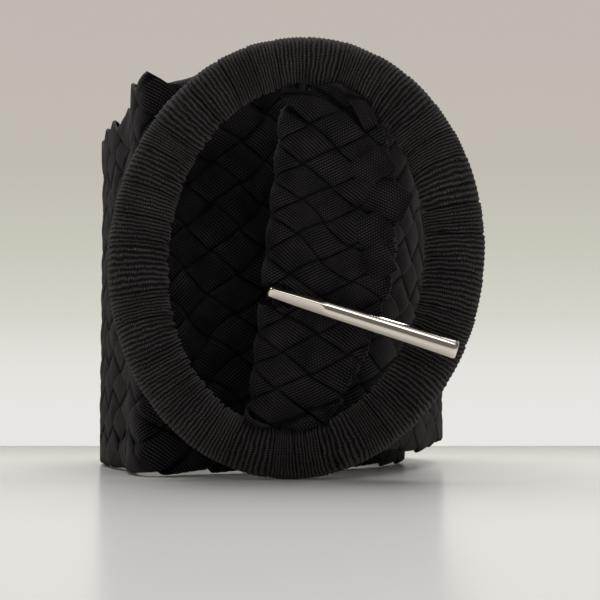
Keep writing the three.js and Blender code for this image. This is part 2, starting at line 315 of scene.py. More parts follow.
# Each row: right as a share of half the coil's width, back as a share of its depth, rise, lean, lift.
COIL_ROWS = [
    (0.58, 0.125, 0.5, 0.7, 0), (0.8, 0.335, 0.8, 0.35, 2 * MM), (0.93, 0.55, 0.95, 0.1, 5.5 * MM),
    (0.96, 0.72, 1, 0, 6 * MM), (0.7, 0.93, 1, 0, 3 * MM), (0.03, 1, 1, 0, 0), (-0.67, 0.91, 1, 0, 0),
    (-0.935, 0.65, 1, 0, 0), (-0.8, 0.38, 1, 0, 0), (-0.68, 0.27, 1, 0, 0), (-0.61, 0.14, 1, 0, 0),
    (-0.53, 0.09, 1, 0, 0), (-0.43, 0.1, 1, 0, 0), (-0.31, 0.14, 1, 0, 0), (-0.045, 0.19, 1, 0, 0),
    (0.27, 0.285, 1, 0, 0), (0.6, 0.43, 1, 0, 0), (0.73, 0.625, 1, 0, 0), (0.5, 0.81, 1, 0, 0),
    (0, 0.89, 1, 0, 0), (-0.51, 0.815, 1, 0, 0), (-0.7, 0.645, 1, 0, 0), (-0.66, 0.485, 1, 0, 0),
]
tab_rows = tab_and_fold_rows()
FOLD_MIDDLE_ROW = 4
FRONT_TURN_ROW = len(tab_rows) + 11
RIGHT_WALL_ROW = len(tab_rows) + 15
route_rows = np.array(tab_rows + [
    (-COIL_LEFT_OF_MIDDLE + right * COIL_WIDTH / 2, back * COIL_DEPTH, rise, lean, lift, 0)
    for right, back, rise, lean, lift in COIL_ROWS
])


def smooth_step(share):
    """A soft rise from 0 to 1 as the share goes from 0 to 1, level at both ends."""
    share = np.clip(share, 0, 1)
    return share ** 2 * (3 - 2 * share)


def catmull_rom(points, steps):
    """A centripetal Catmull-Rom curve through points, with the same number of steps between each two."""
    ends = np.vstack([2 * points[0] - points[1], points, 2 * points[-1] - points[-2]])
    t = np.linspace(0, 1, steps, endpoint=False)[:, None]
    stretches = []
    for before, start, end, after in zip(ends, ends[1:], ends[2:], ends[3:]):
        gap0, gap1, gap2 = (np.linalg.norm(b - a) ** 0.5
                            for a, b in ((before, start), (start, end), (end, after)))
        leave = (start - before) / gap0 - (end - before) / (gap0 + gap1) + (end - start) / gap1
        arrive = (end - start) / gap1 - (after - start) / (gap1 + gap2) + (after - end) / gap2
        leave, arrive = leave * gap1, arrive * gap1
        stretches.append(start + leave * t + (-3 * start + 3 * end - 2 * leave - arrive) * t ** 2
                         + (2 * start - 2 * end + leave + arrive) * t ** 3)
    return np.vstack([*stretches, points[-1:]])


def running_length(points):
    """How far along a line of points each of them is."""
    return np.concatenate([[0], np.cumsum(np.linalg.norm(np.diff(points, axis=0), axis=1))])


route = catmull_rom(route_rows[:, :2], STEPS)
to_next = smooth_step(np.linspace(0, 1, STEPS, endpoint=False))[:, None]
route_values = np.vstack([
    *(here + (there - here) * to_next for here, there in zip(route_rows[:-1, 2:], route_rows[1:, 2:])),
    route_rows[-1:, 2:],
])
route_distance = running_length(route)
route_direction = np.gradient(route, route_distance, axis=0)
route_direction /= np.linalg.norm(route_direction, axis=1)[:, None]
band_length = route_distance[-1]
fold_distance, front_turn_distance, right_wall_distance = (
    route_distance[row * STEPS] for row in (FOLD_MIDDLE_ROW, FRONT_TURN_ROW, RIGHT_WALL_ROW))
print("the band is", round(band_length / MM), "mm long, and", round(fold_distance / MM), "mm to its fold")

# %% [markdown]
# A place on the band is given by three numbers: how far along it, how high across it, and how far out of
# its wall. Behind the ring that wall stands up from the table. In the ring it lies in the ring's rolled
# plane, squeezed to fit the opening, and its foot is drawn flat in front of the bar.

# %% Places on the band
BAND_HALF_AT_BAR = OPENING_HALF_HEIGHT + 0.8 * MM
TOP_MARGIN = 2.5 * MM
# Where the upper edge stands higher: the place along the band, its reach and its lift.
TOP_LIFTS = [(front_turn_distance, 22 * MM, 3.5 * MM), (right_wall_distance, 30 * MM, 10 * MM)]
FOOT_PINCH = 0.75
FOOT_PINCH_REACH = 0.09


def along_route(table, distance):
    """A value of the route's table at distances along the band, held at its ends."""
    return np.interp(distance, route_distance, table)


def place_on_band(distance, across, out):
    """Places on the band: distance along it, height across it from 0 to 1, and how far out of its wall."""
    to_x = along_route(route_direction[:, 0], distance)
    to_y = along_route(route_direction[:, 1], distance)
    beyond = np.minimum(distance, 0) + np.maximum(distance - band_length, 0)
    x = along_route(route[:, 0], distance) + to_x * beyond + to_y * out
    y = along_route(route[:, 1], distance) + to_y * beyond - to_x * out
    rise, lean, lift, inside = (along_route(route_values[:, k], distance)[:, None] for k in range(4))
    half = BAND_HALF_AT_BAR * math.cos(RING_ROLL)
    low = (ring_middle.z - half) * (1 - rise) + lift
    lifted = sum(lift_there * np.exp(-((distance - place) / reach) ** 4)
                 for place, reach, lift_there in TOP_LIFTS)[:, None]
    high = (ring_middle.z + half) * (1 - rise) + (BAND_WIDTH - TOP_MARGIN) * rise + lifted
    height = low + (high - low) * across[:, None]
    shift = np.tan(RING_ROLL * lean) * (height - ring_middle.z)
    standing = np.hstack([ring_middle.x + x[:, None] + shift, ring_middle.y + y[:, None], height])
    pinch = FOOT_PINCH * (1 - smooth_step(across / FOOT_PINCH_REACH))
    in_ring = from_ring_plane(x, y - (y + FOLD_RADIUS) * pinch, (across - 0.5) * 2 * BAND_HALF_AT_BAR)
    return standing + (in_ring - standing) * inside


print("the band is", round(2 * BAND_HALF_AT_BAR / MM, 1), "mm wide at the bar")

# %% [markdown]
# In the plait, strips cross on a lattice of lozenges, nine high. A strip is straight if the band is unfolded
# at its edges: it climbs, folds over the selvedge, comes down on the other face, and so on. So each strip
# starts as one long flat grid. Its rows are numbered by crossings, and every second crossing passes over.
# The numbers are then turned into places. Where the strip meets the selvedge it turns over in a soft loop,
# wider on one side than the other, which gives the pointed corners of the band's edge.

# %% Lattice of the plait
ROWS = 18
STRIPS = 18
HALF_LOZENGE = band_length / round(band_length / (7.1 * MM))
LOZENGE_COLUMNS = round(band_length / HALF_LOZENGE)
ROW_HEIGHT = BAND_WIDTH / (ROWS + 0.6)
STRIP_THICKNESS = 1.0 * MM
STRIP_WEAVE = 0.7 * MM
STRIP_DOME = 0.25 * MM
STRIP_COVER = 0.486
TOP_TOOTH = 0.75
BOTTOM_TOOTH = 0.16
LOOP_RADIUS = 0.95 * MM
# Distances from the edge, in rows, where a strip begins to leave the weave and to roll over.
LOOP_REACH = 1.7
ROLL_REACH = 1.6
TOOTH_VARIETY = 0.25
LOOP_VARIETY = 0.35
WEAVE_POWER = 0.6
# Three numbers for each turn of each strip: for its tooth, for its loop, and one spare.
TURNS_DRAWN = 12
fold_variety = np.random.default_rng(4).uniform(-1, 1, (STRIPS, TURNS_DRAWN, 3))
print("the plait has", LOZENGE_COLUMNS, "columns of half lozenges,", round(HALF_LOZENGE / MM, 2), "mm each")


def strip_places(along, cross, start):
    """Places of strip points: along in crossings, cross from -0.5 to 0.5, start the row it starts at."""
    walked = along + start
    turn = np.round(walked / ROWS).astype(int)
    at_top = turn % 2 == 1
    variety = fold_variety[(start / 2).astype(int) % STRIPS, turn % TURNS_DRAWN]
    tooth = np.where(at_top, TOP_TOOTH, BOTTOM_TOOTH) * (1 + TOOTH_VARIETY * variety[:, 0])
    past = walked - (1 - tooth) * cross - turn * ROWS
    on_front = (past > 0) == at_top
    reach = np.abs(past)

    pinch = np.where(on_front, 1, 1 - 2 * np.clip(1 - reach / LOOP_REACH, 0, 1))
    pinch = pinch * np.where(on_front == at_top, -1, 1)
    radius = LOOP_RADIUS * (1 + LOOP_VARIETY * variety[:, 1])
    angle = np.clip(reach * ROW_HEIGHT / radius, 0, math.pi / 2)
    rolled = radius * (1 - np.cos(angle)) + np.maximum(reach * ROW_HEIGHT - radius * math.pi / 2, 0)
    rolling = smooth_step(ROLL_REACH - reach)
    from_edge = reach + (rolled / ROW_HEIGHT - reach) * rolling + tooth * cross * pinch
    row = np.where(at_top, ROWS - from_edge, from_edge)

    leg = np.floor(walked / ROWS)
    in_leg = np.clip(walked - leg * ROWS, 1, ROWS - 1)
    wave = np.cos(math.pi * in_leg) * np.where(leg % 2 == 0, 1, -1)
    wave = np.sign(wave) * np.abs(wave) ** WEAVE_POWER
    dome = (1 - (2 * cross) ** 2) * STRIP_DOME * np.cos(math.pi * (in_leg - np.round(in_leg)))
    woven = STRIP_WEAVE * wave + np.sign(wave) * dome
    looped = radius * np.sin(angle) * np.where(on_front, 1, -1)
    in_loop = smooth_step(LOOP_REACH - reach)
    return (along + cross) * HALF_LOZENGE, row, woven + (looped - woven) * in_loop


# %% [markdown]
# A hand-made plait is never quite even. So before the strips are bent, the whole lattice is pulled about a
# little by a few slow waves. Every strip goes through the same waves, so they still cross where they should.

# %% Uneven lattice
PULL_ALONG = 1.1 * MM
PULL_ROWS = 0.2
PULL_EDGE_ROWS = 3
WAVE_COUNT = 6
# At most places about three of the waves add up, so each is a third of the whole pull.
WAVES_ADDED = 3
pull_rng = np.random.default_rng(21)
# Each wave: turns per millimetre along the band and per row across it, and its two phases.
PULL_WAVES = [(1 / pull_rng.uniform(18, 45), pull_rng.uniform(-0.16, 0.16), pull_rng.uniform(0, 1),
               pull_rng.uniform(0, 1)) for _ in range(WAVE_COUNT)]


def pull_lattice(distance, row):
    """Moves lattice places a little along the band, and across it except at its edges."""
    along_pull, row_pull = np.zeros_like(distance), np.zeros_like(distance)
    for per_mm, per_row, phase, other_phase in PULL_WAVES:
        wave = distance / MM * per_mm + row * per_row
        along_pull += np.sin(2 * math.pi * (wave + phase)) / WAVES_ADDED
        row_pull += np.sin(2 * math.pi * (wave + other_phase)) / WAVES_ADDED
    inside = smooth_step(np.minimum(row, ROWS - row) / PULL_EDGE_ROWS)
    return distance + PULL_ALONG * along_pull, row + PULL_ROWS * row_pull * inside


print("the lattice is pulled about by", len(PULL_WAVES), "waves")

# %% [markdown]
# The tab is cut from the same plait. Its outer edge is tucked behind along an outline that runs just inside
# the ring's opening, with a soft bulge wherever a strip turns. One rule does it: cloth past the outline
# rolls round a small radius and then runs back behind itself, and what would reach too far is trimmed off.

# %% Tucking the tab's edge behind
TUCK_RADIUS = 1.1 * MM
TUCKED_REACH = 4 * MM
TAB_END_BEFORE_FOLD = 4 * MM
BULGE = 0.9 * MM
BULGE_PITCH = 8.6 * MM
BULGE_MEAN = 0.6
OUTLINE_STEPS = 24
POINTS_AT_ONCE = 4000
# The tab's outline right of and above the ring's middle, in millimetres, from the fold's top to its foot.
TAB_OUTLINE = [
    (-16, 46), (-7, 43), (1, 40.2), (7.5, 37.2), (12.5, 33), (16, 27.5), (18.4, 20), (19.8, 12), (20.4, 4),
    (19.9, -6), (18.3, -15), (15.8, -21.5), (13.4, -27), (11.8, -32), (8, -36), (0, -39.5), (-8, -43),
    (-16, -46),
]
outline_points = catmull_rom(np.array(TAB_OUTLINE, dtype=float) * MM, OUTLINE_STEPS)
outline_heading = np.gradient(outline_points, axis=0)
outline_heading /= np.linalg.norm(outline_heading, axis=1)[:, None]
outline_outward = np.stack([-outline_heading[:, 1], outline_heading[:, 0]], axis=1)
bulge_wave = np.abs(np.sin(math.pi * (running_length(outline_points) / BULGE_PITCH + 0.15))) ** 0.7
outline_points += outline_outward * (BULGE * (bulge_wave - BULGE_MEAN))[:, None]
print("the tab's outline has", len(outline_points), "points")


def tuck_tab(distance, across, out):
    """Rolls the tab's cloth back along its outline, and says how far past it each point was."""
    flat_right = along_route(route[:, 0], distance) - np.minimum(distance, 0)
    flat_above = (across - 0.5) * 2 * BAND_HALF_AT_BAR
    excess = np.zeros_like(distance)
    front = np.flatnonzero(distance < fold_distance - TAB_END_BEFORE_FOLD)
    for part in np.array_split(front, max(len(front) // POINTS_AT_ONCE, 1)):
        here = np.stack([flat_right[part], flat_above[part]], axis=1)
        nearest = np.argmin(((here[:, None] - outline_points[None]) ** 2).sum(axis=2), axis=1)
        outward = outline_outward[nearest]
        past = np.maximum(((here - outline_points[nearest]) * outward).sum(axis=1), 0)
        angle = np.minimum(past / TUCK_RADIUS, math.pi)
        back = np.maximum(past - TUCK_RADIUS * math.pi, 0)
        move = np.where(past > 0, (TUCK_RADIUS - out[part]) * np.sin(angle) - back - past, 0)
        moved = here + outward * move[:, None]
        distance[part] -= moved[:, 0] - here[:, 0]
        across[part] += (moved[:, 1] - here[:, 1]) / (2 * BAND_HALF_AT_BAR)
        out[part] = TUCK_RADIUS - (TUCK_RADIUS - out[part]) * np.cos(angle)
        excess[part] = past
    return distance, across, out, excess


# %% [markdown]
# Now the strips are made. Three of them share a piece, so that no piece grows too heavy. A grid operator
# lays each strip out flat, the rules above bend it, and faces that lie in the slot for the prong's eye, past
# the band's end or too far behind the tab are taken out. The cloth stays one face thick while it is bent. A
# Solidify modifier thickens it last, because a thin sheet is quicker to bend than a thick one.

# %% Plaiting the strips
ALONG_PER_CROSSING = 6
SEGMENTS_ACROSS = 10
STRIPS_PER_PIECE = 3
CROSSINGS_BEFORE = 3
CROSSINGS_AFTER = 2
PRONG_BELOW_MIDDLE = 9.9 * MM
SLOT_HALF_HEIGHT = 2.0 * MM
SLOT_RADIUS = FOLD_OUTER_RADIUS + 1.2 * MM
SLOT_RIGHT_END = 1.5 * MM
# The strips' map counts in tens of millimetres, and each strip starts at another place in the knit.
MAP_UNIT = 10 * MM
MAP_SHIFT = 0.37
# How far the teeth stand past the lattice in rows, and the share of the width left free at each edge.
ROWS_BELOW = BOTTOM_TOOTH * 0.6
ROWS_ABOVE = TOP_TOOTH * 0.5
EDGE_MARGIN = (STRIP_THICKNESS / 2 + 0.1 * MM) / BAND_WIDTH


def in_prong_slot(places):
    """True for points in the gap that the strips leave for the prong's eye and neck."""
    right = places[:, 0] - ring_middle.x
    above = places[:, 2] - ring_middle.z
    down_bar = above * math.cos(RING_ROLL) + right * math.sin(RING_ROLL)
    from_bar = right * math.cos(RING_ROLL) - above * math.sin(RING_ROLL) + BAR_LEFT_OF_MIDDLE
    behind = places[:, 1] - ring_middle.y
    near_bar = (np.hypot(from_bar, behind) < SLOT_RADIUS) & (from_bar < SLOT_RIGHT_END)
    return near_bar & (np.abs(down_bar + PRONG_BELOW_MIDDLE) < SLOT_HALF_HEIGHT)


def read_places(mesh):
    """The places of a mesh's vertices, one row each."""
    numbers = np.empty(len(mesh.vertices) * 3)
    mesh.vertices.foreach_get("co", numbers)
    return numbers.reshape(-1, 3)


def write_uv(mesh, name, values):
    """Adds a UV map to a mesh from one pair of numbers for each vertex."""
    corner_vertex = np.empty(len(mesh.loops), dtype=np.int32)
    mesh.loops.foreach_get("vertex_index", corner_vertex)
    layer = mesh.uv_layers.new(name=name)
    layer.data.foreach_set("uv", values[corner_vertex].astype(np.float32).ravel())


def new_strip_piece(name, bm):
    """A piece of the belt made from flat strips, thickened by a modifier."""
    piece = object_from_bmesh(name, bm)
    thicken = piece.modifiers.new("thickness", "SOLIDIFY")
    thicken.thickness = STRIP_THICKNESS
    thicken.offset = 0
    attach(piece, "belt")
    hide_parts("belt_band")
    return piece


def flat_strips(name, starts):
    """A mesh of flat strips, one grid each: x along in crossings, y across, z the row where it starts."""
    crossings = CROSSINGS_BEFORE + LOZENGE_COLUMNS + CROSSINGS_AFTER
    bm = bmesh.new()
    for start in starts:
        made = bmesh.ops.create_grid(bm, x_segments=crossings * ALONG_PER_CROSSING,
                                     y_segments=SEGMENTS_ACROSS, size=0.5)
        for vert in made["verts"]:
            vert.co.x = (vert.co.x + 0.5) * crossings - CROSSINGS_BEFORE
            vert.co.y *= 2 * STRIP_COVER
            vert.co.z = start
    mesh = bpy.data.meshes.new(name + "_flat")
    bm.to_mesh(mesh)
    bm.free()
    return mesh


def plait_strips(name, starts):
    """One piece that holds the strips which start at these rows, bent into the plait."""
    mesh = flat_strips(name, starts)
    along, cross, start = read_places(mesh).T
    distance, row, out = strip_places(along, cross, start)
    past_end = distance > band_length
    distance, row = pull_lattice(distance, row)
    across = (row + ROWS_BELOW) / (ROWS + ROWS_BELOW + ROWS_ABOVE)
    across = EDGE_MARGIN + np.maximum(across, 0) * (1 - 2 * EDGE_MARGIN)
    distance, across, out, tucked_length = tuck_tab(distance, across, out)
    places = place_on_band(distance, across, out)
    mesh.vertices.foreach_set("co", places.ravel())

    crossing_length = math.hypot(HALF_LOZENGE, ROW_HEIGHT)
    skew = (HALF_LOZENGE ** 2 - ROW_HEIGHT ** 2) / crossing_length
    knit_along = (along * crossing_length + cross * skew) / MAP_UNIT + MAP_SHIFT * start
    write_uv(mesh, "strip", np.stack([knit_along, cross / (2 * STRIP_COVER) + 0.5], axis=1))
    write_uv(mesh, "crossing", np.stack([along + start, cross], axis=1))

    bm = bmesh.new()
    bm.from_mesh(mesh)
    bm.verts.ensure_lookup_table()
    gone = in_prong_slot(places) | past_end | (tucked_length > TUCKED_REACH + math.pi * TUCK_RADIUS)
    faces = [face for face in bm.faces if any(gone[vert.index] for vert in face.verts)]
    bmesh.ops.delete(bm, geom=faces, context="FACES")
    return new_strip_piece(name, bm)


strip_pieces = []
for group in range(STRIPS // STRIPS_PER_PIECE):
    numbers = range(STRIPS_PER_PIECE * group, STRIPS_PER_PIECE * (group + 1))
    strip_pieces.append(plait_strips(f"plaited_strips_{group + 1}", [2 * number for number in numbers]))
print("plaited", STRIPS_PER_PIECE * len(strip_pieces), "strips")

# %% [markdown]
# Where the band was cut to make the tab, a few strip ends are left over at its upper right. Each was turned
# back and tucked in, so it shows as a loose fold that stands out past the tab's edge. Each is a short grid:
# straight where it comes out from under its neighbour, then bent round half an ellipse.

# %% Folded strip ends on the tab
END_SINK = 1.3 * MM
END_ROUND = 1.5 * MM
END_STEPS = 26
END_TURN = math.radians(165)
END_TAPER = 0.12
CLOTH_PER_REACH = 2.2
# Millimetres right of and above the ring's middle, the heading outwards in degrees, then in millimetres
# the length that lies on the tab, how far the fold stands out, and the strip's width there.
TAB_STRIP_ENDS = [
    (19.4, 14.6, -18, 4.5, 4.6, 7.6), (15.4, 21.8, 38, 5.0, 4.4, 6.6), (17.4, 7.4, 34, 4.5, 3.4, 7.4),
    (19.2, 0.4, 30, 4.0, 2.6, 7.2),
]


def tab_front(right):
    """How far behind the ring's plane the outer face of the tab's strips lies."""
    on_tab = route[:2 * STEPS]
    return np.interp(right, on_tab[::-1, 0], on_tab[::-1, 1]) - STRIP_WEAVE - STRIP_THICKNESS


def folded_end(bm, layers, end):
    """Adds one folded strip end, with the two maps that the material reads."""
    right, above, heading, lead, stands_out, width = end
    heading = math.radians(heading)
    outward = np.array([math.cos(heading), math.sin(heading)])
    sideways = np.array([-outward[1], outward[0]])
    in_fold = CLOTH_PER_REACH * stands_out
    made = bmesh.ops.create_grid(bm, x_segments=END_STEPS, y_segments=SEGMENTS_ACROSS, size=0.5)
    maps = {}
    for vert in made["verts"]:
        share, cross = vert.co.x + 0.5, vert.co.y
        walked = share * (lead + in_fold) - lead
        angle = min(max(walked, 0) / in_fold, 1) * END_TURN
        out = min(walked, 0) + stands_out * math.sin(angle)
        across = cross * (width - END_TAPER * max(out, 0))
        flat_right, flat_above = (np.array([right, above]) + out * outward + across * sideways) * MM
        sink = END_SINK * (min(walked, 0) / lead) ** 2
        dome = STRIP_DOME * (1 - (2 * cross) ** 2) * math.cos(angle)
        behind = tab_front(flat_right) + sink - dome + END_ROUND * (1 - math.cos(angle))
        vert.co = from_ring_plane(flat_right, behind, flat_above)
        maps[vert] = ((walked * MM / MAP_UNIT, cross + 0.5), (0, cross))
    for face in {face for vert in made["verts"] for face in vert.link_faces}:
        for corner in face.loops:
            for layer, uv in zip(layers, maps[corner.vert]):
                corner[layer].uv = uv


bm = bmesh.new()
end_layers = [bm.loops.layers.uv.new(name) for name in ("strip", "crossing")]
for strip_end in TAB_STRIP_ENDS:
    folded_end(bm, end_layers, strip_end)
strip_ends = new_strip_piece("tab_strip_ends", bm)
strip_pieces.append(strip_ends)
print("the folded strip ends have", len(strip_ends.data.polygons), "faces")

# %% [markdown]
# Black elastic is matt, with a soft sheen on its fibres. Its ribs run along the strip and fine knitted rows
# cross them. Both follow the strip's own UV map, so they turn with it over every fold. The colour carries
# painted shade in the knit's hollows and painted highlights on its rib tops and along the strip's edges. A
# second map counts the crossings, and paints a strip dark where it slips under its neighbour and no light
# reaches.

# %% Elastic of the strips
STRIP_RIBS = 12
STRIP_KNIT_ROWS = 17


def knit_height(tree, rib_count, row_count, rib_share, row_share):
    """The knit's height: ribs one way, and along each rib stitches set between its neighbours' stitches."""
    half_rib = add_math(tree, "COSINE", add_math(tree, "MULTIPLY", rib_share, math.pi * rib_count))
    stitch = add_math(tree, "COSINE", add_math(tree, "MULTIPLY", row_share, 2 * math.pi * row_count))
    rib = add_math(tree, "POWER", half_rib, 2.0)
    stitches = add_math(tree, "MULTIPLY_ADD", add_math(tree, "MULTIPLY", half_rib, stitch), 0.2, 0.2)
    return add_math(tree, "MULTIPLY_ADD", rib, 0.6, stitches)


def off_half(tree, value):
    """How far a value is from a half."""
    return add_math(tree, "ABSOLUTE", add_math(tree, "SUBTRACT", value, 0.5))


def mix_colours(tree, factor, first, second):
    """The first colour, a socket, changed towards the second, three numbers."""
    mix = add_node(tree, "ShaderNodeMix", data_type="RGBA")
    tree.links.new(factor, mix.inputs[0])
    tree.links.new(first, mix.inputs[6])
    mix.inputs[7].default_value = (*second, 1)
    return mix.outputs[2]


def add_variation(tree, colour, scale, low, high):
    """Makes a colour lighter and darker in soft patches, as worn and dyed elastic is."""
    strength = add_range(tree, add_noise(tree, scale, 3.0)["Fac"], 0.3, 0.7, low, high)
    scaled = add_node(tree, "ShaderNodeVectorMath", {0: colour, "Scale": strength}, operation="SCALE")
    return scaled.outputs["Vector"]


def add_bump(tree, shader, height, strength, depth):
    """Makes the shader's light follow a height."""
    bump = add_node(tree, "ShaderNodeBump", {"Height": height, "Strength": strength, "Distance": depth})
    tree.links.new(bump.outputs["Normal"], shader.inputs["Normal"])


def matt_elastic(shader, tint, sheen):
    """What both kinds of elastic share: little shine and a tinted sheen."""
    shader.inputs["Roughness"].default_value = 0.8
    shader.inputs["Specular IOR Level"].default_value = 0.12
    shader.inputs["Sheen Weight"].default_value = sheen
    shader.inputs["Sheen Roughness"].default_value = 0.4
    shader.inputs["Sheen Tint"].default_value = (*tint, 1)


def strip_material():
    """Ribbed black elastic with painted highlights on ribs and edges, and painted shade in hollows and
    crossings.
    """
    material, tree, shader = new_material("ribbed_black_elastic")
    strip_map = read_uv(tree, "strip")
    crossing_map = read_uv(tree, "crossing")
    knit = knit_height(tree, STRIP_RIBS, STRIP_KNIT_ROWS, strip_map["Y"], strip_map["X"])
    # Painted shade and highlight: the knit's hollows are coloured nearly black and its rib tops pale.
    colour = add_ramp(tree, knit, [
        (0.0, (0.0007, 0.0006, 0.0007)), (0.5, (0.0058, 0.0050, 0.0055)),
        (0.8, (0.0270, 0.0240, 0.0253)), (1.0, (0.062, 0.056, 0.0585)),
    ])
    # Painted highlight: a paler colour along both edges of each strip.
    edge_highlight_mask = add_range(tree, off_half(tree, strip_map["Y"]), 0.46, 0.49)
    edge_highlighted = mix_colours(tree, edge_highlight_mask, colour, (0.024, 0.0215, 0.0225))
    to_halfway = off_half(tree, add_math(tree, "FRACT", crossing_map["X"]))
    in_shade = add_range(tree, to_halfway, 0.02, 0.13, 1.0, 0.0)
    shaded = mix_colours(tree, in_shade, edge_highlighted, (0.0004, 0.0003, 0.0004))
    tree.links.new(add_variation(tree, shaded, 160.0, 0.5, 1.6), shader.inputs["Base Color"])
    add_bump(tree, shader, knit, 0.6, 0.25 * MM)
    matt_elastic(shader, (0.8, 0.78, 0.82), 0.03)
    return material


strip_elastic = strip_material()
for piece in strip_pieces:
    piece.data.materials.append(strip_elastic)
print("the elastic is on", len(strip_pieces), "pieces")

# %% [markdown]
# The buckle's cover is one strip of the same elastic wound round and round the ring. Its ribs therefore run
# across the ring's band, bunched together on the inner side, and each turn of the winding lies a little over
# the one before. The cover is one closed grid: the long way round counts windings, the short way goes round
# the ring's section. Folds and creases are sunk into it by formula, drawn at random from a fixed start.

# %% Winding the ring's cover
WINDINGS = 35
WINDING_RIBS = 8
COLUMNS_PER_RIB = 4
ROUND_SECTION = 72
WINDING_GROOVE = 1.0 * MM
WINDING_STEP = 0.15 * MM
WINDING_STEP_EDGE = 0.05
WINDING_RIB_HEIGHT = 0.2 * MM
COVER_RELIEF = 0.2 * MM
PLEAT_DEPTH = 0.45 * MM
CREASES = 80
FOLD_WIDTH = 0.04
SLANT_VARIETY = 0.3
SLANT_REACH = 0.45
SPACING_VARIETY = 0.16
TURN_WANDER = 0.004
TABLE_CLEARANCE = 0.02 * MM


def soft_waves(rng, turn, section, count, slowest, fastest):
    """A gentle uneven relief between -1 and 1 round the ring, made of a few waves."""
    relief = np.zeros_like(turn)
    for _ in range(count):
        around, over = rng.integers(slowest, fastest), rng.integers(0, 3)
        relief += np.cos(around * turn + over * section + rng.uniform(0, 2 * math.pi)) / count
    return relief


def groove_depth(rng, in_winding, section, number, turn):
    """Depth from 0 to 1 of the folds between windings and of the creases scattered between them."""
    inner_side = (1 - np.cos(section)) / 2
    fold_strength = rng.uniform(0.1, 0.75, WINDINGS)
    nearest = (number + (in_winding > 0.5)) % WINDINGS
    to_fold = np.minimum(in_winding, 1 - in_winding)
    grooves = fold_strength[nearest] * (0.4 + 0.6 * inner_side) * np.exp(-(to_fold / FOLD_WIDTH) ** 2)
    for _ in range(CREASES):
        middle = rng.uniform(0, 2 * math.pi)
        slant = rng.uniform(-0.025, 0.025)
        width = rng.uniform(0.004, 0.008)
        reach = rng.uniform(0.0, 0.75)
        depth = rng.uniform(0.25, 1.0)
        off = (turn - middle - slant * np.sin(section) + math.pi) % (2 * math.pi) - math.pi
        near = np.flatnonzero(np.abs(off) < 4 * width)
        fade = smooth_step((inner_side[near] - reach) * 3 + 0.5)
        grooves[near] += depth * fade * np.exp(-(off[near] / width) ** 2)
    return grooves


def between_windings(values, number, in_winding):
    """Each winding's value, carried over evenly to the next one's."""
    return values[number] * (1 - in_winding) + values[(number + 1) % WINDINGS] * in_winding


def cover_relief(rng, in_winding, section, number, turn):
    """How far each point of the cover stands out of the ring's plain oval tube."""
    grooves = groove_depth(rng, in_winding, section, number, turn)
    pleats = soft_waves(rng, turn, section, 7, 45, 110) * (1 - np.cos(section)) / 2
    ribs = 0.5 - 0.5 * np.cos(2 * math.pi * WINDING_RIBS * in_winding)
    to_fold = np.minimum(in_winding, 1 - in_winding)
    step = (in_winding - 0.5) * np.clip(to_fold / WINDING_STEP_EDGE, 0, 1)
    return (WINDING_STEP * step - WINDING_GROOVE * np.minimum(grooves, 1) + WINDING_RIB_HEIGHT * (ribs - 0.4)
            + PLEAT_DEPTH * pleats + COVER_RELIEF * soft_waves(rng, turn, section, 9, 2, 30))


def on_ring_tube(turn, section, raised):
    """Places on the ring's oval tube: turn round the ring, section round the tube, raised above it."""
    side, top = np.cos(turn), np.sin(turn)
    half_band = (RING_BAND_AT_SIDES * side ** 2 + RING_BAND_AT_TOP * top ** 2) / 2
    out_right, out_up = side / RING_WIDTH, top / RING_HEIGHT
    length = np.hypot(out_right, out_up)
    out_right, out_up = out_right / length, out_up / length
    out = (half_band + raised) * np.cos(section)
    behind = (RING_DEPTH / 2 + raised) * np.sin(section)
    return from_ring_plane((RING_WIDTH / 2 - half_band) * side + out * out_right, behind,
                           (RING_HEIGHT / 2 - half_band) * top + out * out_up)


def wound_cover():
    """The ring's whole cover as one closed mesh, with a map that counts its windings."""
    rng = np.random.default_rng(11)
    bm = bmesh.new()
    bmesh.ops.create_grid(bm, x_segments=WINDINGS * WINDING_RIBS * COLUMNS_PER_RIB,
                          y_segments=ROUND_SECTION, size=0.5)
    mesh = bpy.data.meshes.new("ring_cover_flat")
    bm.to_mesh(mesh)
    bm.free()
    long_way, short_way, _ = read_places(mesh).T
    section = (short_way + 0.5) * 2 * math.pi
    count = (long_way + 0.5) * WINDINGS
    number = np.floor(count + 1e-6).astype(int)
    in_winding = count - number
    number %= WINDINGS

    slant = between_windings(rng.uniform(-SLANT_VARIETY, SLANT_VARIETY, WINDINGS), number, in_winding)
    moved = between_windings(rng.uniform(-SPACING_VARIETY, SPACING_VARIETY, WINDINGS), number, in_winding)
    turn = (count + moved + SLANT_REACH * slant * np.sin(section)) * 2 * math.pi / WINDINGS
    turn += TURN_WANDER * soft_waves(rng, turn, section, 5, 2, 40)
    raised = cover_relief(rng, in_winding, section, number, turn)
    places = on_ring_tube(turn, section, raised)
    places[:, 2] = np.maximum(places[:, 2], TABLE_CLEARANCE)
    mesh.vertices.foreach_set("co", places.ravel())
    write_uv(mesh, "winding", np.stack([count, short_way + 0.5], axis=1))

    bm = bmesh.new()
    bm.from_mesh(mesh)
    bmesh.ops.remove_doubles(bm, verts=[vert for vert in bm.verts if vert.is_boundary], dist=0.01 * MM)
    bmesh.ops.recalc_face_normals(bm, faces=bm.faces)
    print("open edges left on the ring's cover:", sum(edge.is_boundary for edge in bm.edges))
    return object_from_bmesh("ring_cover", bm)


ring_cover = wound_cover()
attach(ring_cover, "belt")
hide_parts("buckle_ring")
print("the ring's cover has", len(ring_cover.data.polygons), "faces")

# %% [markdown]
# The cover's elastic is knitted like that of the strips, but its rows are finer and lint sits on its outer
# side. A formula on the winding map draws the knit, because it stays sharp from near by where a picture
# wouldn't. A little noise pushes the stitches out of line, as real yarn is.

# %% Knit of the cover
COVER_KNIT_ROWS = 84
LINT = (0.085, 0.08, 0.078)


